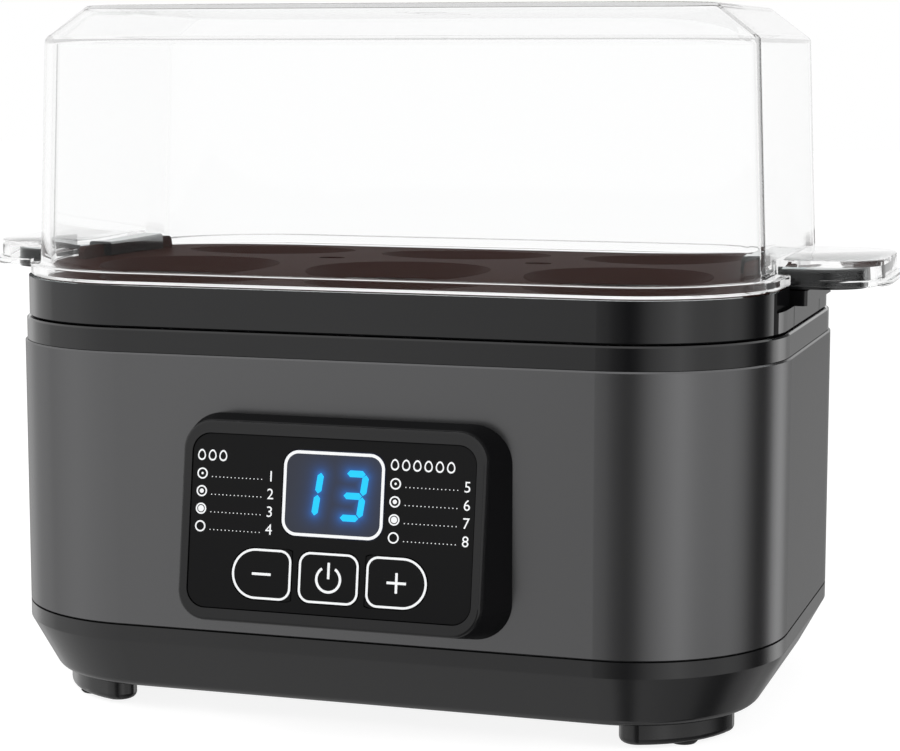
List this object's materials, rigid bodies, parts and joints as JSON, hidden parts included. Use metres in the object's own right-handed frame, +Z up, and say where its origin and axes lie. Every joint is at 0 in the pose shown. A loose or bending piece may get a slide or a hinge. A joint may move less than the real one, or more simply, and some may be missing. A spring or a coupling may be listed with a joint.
{
  "type": "electric egg cooker",
  "caption": "Rounded box-shaped egg steamer: banded housing with a slanted key panel, lift-out rack of cup seats and a tall clear lid with end grips.",
  "frame": {"origin": "on the table, at the middle of the outline seen from above: midway between the panel's front edge and the cord gland's back", "axes": "+X to the right of someone who faces the panel, +Y to the back, +Z up; the panel faces -Y and leans back"},
  "size_m": [0.2076, 0.1332, 0.1514],
  "materials": {
    "base_black": "satin",
    "pad_rubber": "matte",
    "screw_steel": "bright",
    "gland_rubber": "matte",
    "shell_grey": "satin",
    "band_black": "satin",
    "seal_silicone": "matte",
    "pan_steel": "brushed",
    "rack_smoke": "gloss",
    "handle_black": "satin",
    "lid_clear": "clear gloss",
    "bezel_black": "gloss",
    "panel_black": "gloss",
    "window_smoke": "gloss",
    "module_white": "matte",
    "board_green": "satin",
    "switch_black": "matte",
    "element_steel": "dull",
    "terminal_steel": "bright",
    "shield_metal": "galvanised",
    "fuse_metal": "bright",
    "relay_blue": "satin",
    "transformer_yellow": "satin",
    "capacitor_yellow": "satin"
  },
  "bodies": {
    "base": {"base_cover": "base_black", "foot_pads": "pad_rubber", "base_screws": "screw_steel", "cable_gland": "gland_rubber", "body_shell": "shell_grey", "lower_collar": "band_black", "pan_gasket": "seal_silicone", "heating_plate": "pan_steel", "rim_ring": "band_black", "panel_bezel": "bezel_black", "panel_glass": "panel_black", "display_window": "window_smoke", "display_module": "module_white", "control_board": "board_green", "key_switches": "switch_black", "buzzer": "switch_black", "panel_clamp": "base_black", "heating_element": "element_steel", "element_terminals": "terminal_steel", "element_clamps": "shield_metal", "heat_shield": "shield_metal", "thermostat": "terminal_steel", "thermal_fuse": "fuse_metal", "temperature_sensor": "fuse_metal", "power_board": "board_green", "power_relay": "relay_blue", "board_transformer": "transformer_yellow", "filter_capacitor": "capacitor_yellow", "terminal_block": "module_white", "board_screws": "screw_steel"},
    "rack": {"egg_rack": "rack_smoke", "rack_handle_left": "handle_black", "rack_handle_right": "handle_black"},
    "lid": {"lid": "lid_clear"},
    "minus": {"key_minus": "panel_black"},
    "power": {"key_power": "panel_black"},
    "plus": {"key_plus": "panel_black"}
  },
  "joints": [
    {"name": "rack_lift", "type": "slide", "parent": "base", "child": "rack", "axis": [0, 0, 1], "range_m": [0, 0.06]},
    {"name": "lid_lift", "type": "slide", "parent": "rack", "child": "lid", "axis": [0, 0, 1], "range_m": [0, 0.07]},
    {"name": "minus_press", "type": "slide", "parent": "base", "child": "minus", "axis": [0, 0.989, -0.1478], "range_m": [0, 0.0006], "stiffness_N_per_m": 600},
    {"name": "power_press", "type": "slide", "parent": "base", "child": "power", "axis": [0, 0.989, -0.1478], "range_m": [0, 0.0006], "stiffness_N_per_m": 600},
    {"name": "plus_press", "type": "slide", "parent": "base", "child": "plus", "axis": [0, 0.989, -0.1478], "range_m": [0, 0.0006], "stiffness_N_per_m": 600}
  ]
}
